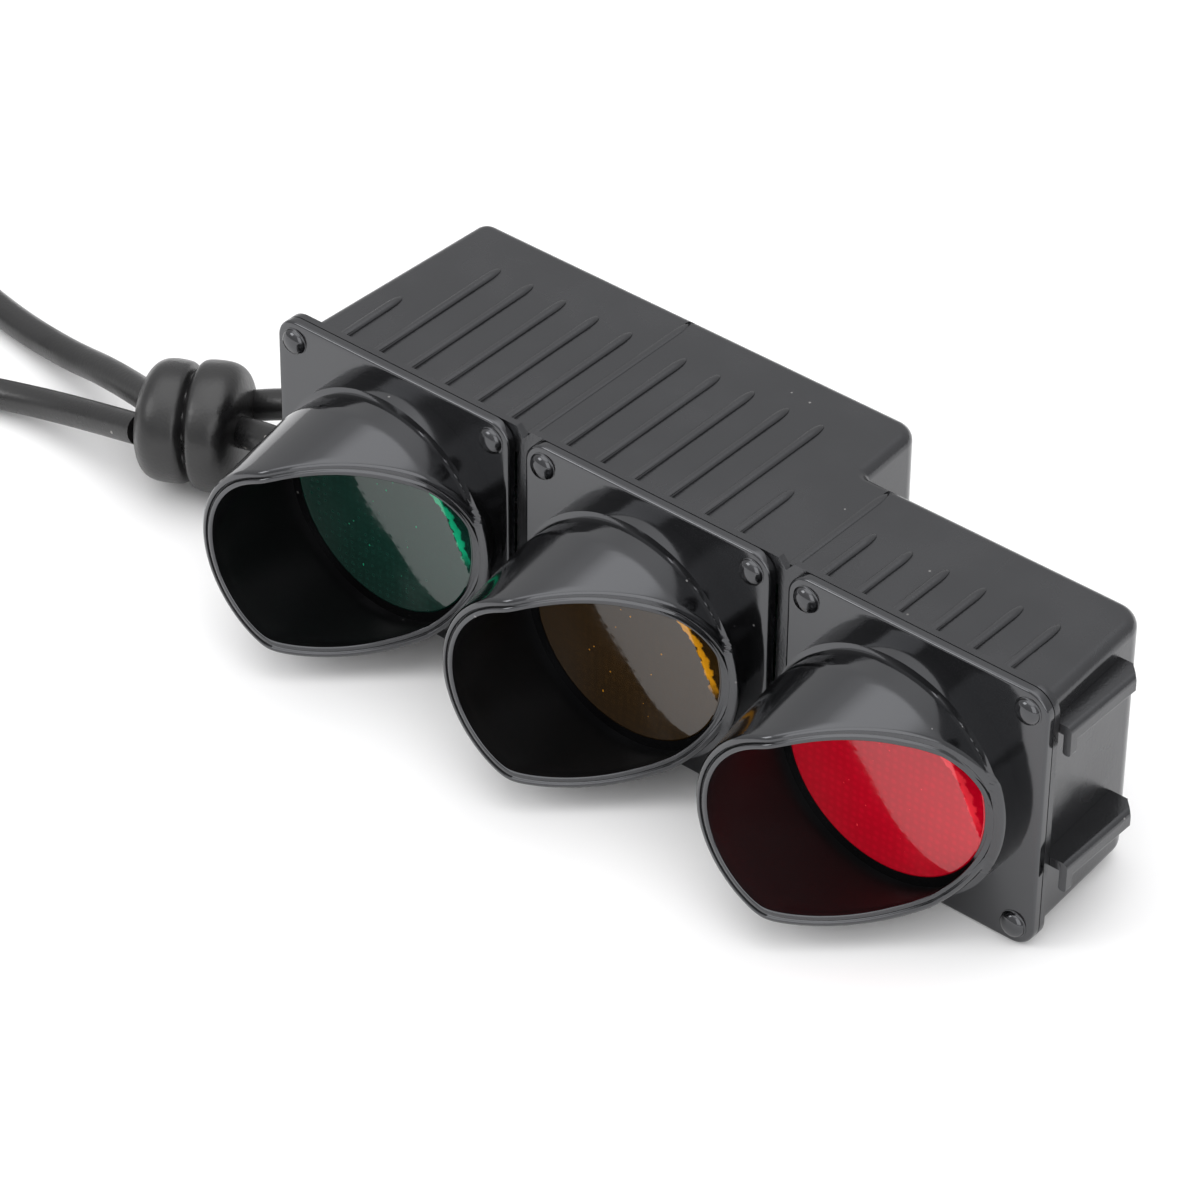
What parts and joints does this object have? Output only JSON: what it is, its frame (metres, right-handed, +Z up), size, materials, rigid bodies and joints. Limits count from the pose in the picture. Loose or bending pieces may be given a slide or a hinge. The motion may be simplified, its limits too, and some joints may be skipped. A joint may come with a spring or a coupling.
{
  "type": "railway colour-light signal model",
  "caption": "Hand-size black railway signal head with hooded green, amber and red lenses in a row, a stepped ribbed case and a knotted strap loop.",
  "frame": {"origin": "middle of the rigid signal's box, at the bottom, where it lies on its long side", "axes": "+X along the row of lamps towards the red end, +Y from the hoods to the back of the case, +Z up with the signal lying on its long side"},
  "size_m": [0.1745, 0.0412, 0.028],
  "materials": {
    "door_black": "semi-gloss moulded black",
    "case_black": "fine satin moulded black",
    "lens_green": "clear tinted, polished",
    "lens_amber": "clear tinted, polished",
    "lens_red": "clear tinted, polished",
    "bright_cup": "metallised",
    "clear_led": "water clear",
    "board_green": "lacquered",
    "screw_steel": "plated",
    "cell_steel": "satin",
    "contact_brass": "plated spring strip",
    "strap_cord": "waxed, faintly grained"
  },
  "bodies": {
    "signal": {"door_plate_green": "door_black", "hood_green": "door_black", "lens_green": "lens_green", "reflector_green": "bright_cup", "led_green": "clear_led", "door_plate_amber": "door_black", "hood_amber": "door_black", "lens_amber": "lens_amber", "reflector_amber": "bright_cup", "led_amber": "clear_led", "door_plate_red": "door_black", "hood_red": "door_black", "lens_red": "lens_red", "reflector_red": "bright_cup", "led_red": "clear_led", "case_shell": "case_black", "door_rivets": "door_black", "circuit_board": "board_green", "board_screws": "screw_steel", "switch_body": "case_black", "coin_cells": "cell_steel", "cell_contacts": "contact_brass", "bracket_upper": "door_black", "bracket_lower": "door_black", "strap_eye": "case_black", "strap_knot": "strap_cord", "strap_loop": "strap_cord", "strap_eye_loop": "strap_cord"},
    "button": {"switch_plunger": "case_black", "button_cap": "door_black"},
    "cover": {"battery_cover": "case_black", "cover_screw": "screw_steel"}
  },
  "joints": [
    {"name": "button_press", "type": "slide", "parent": "signal", "child": "button", "axis": [0, -1, 0], "range_m": [0, 0.0015], "stiffness_N_per_m": 600, "springref_m": -0.002},
    {"name": "cover_lift", "type": "slide", "parent": "signal", "child": "cover", "axis": [0, 1, 0], "range_m": [0, 0.012]}
  ]
}
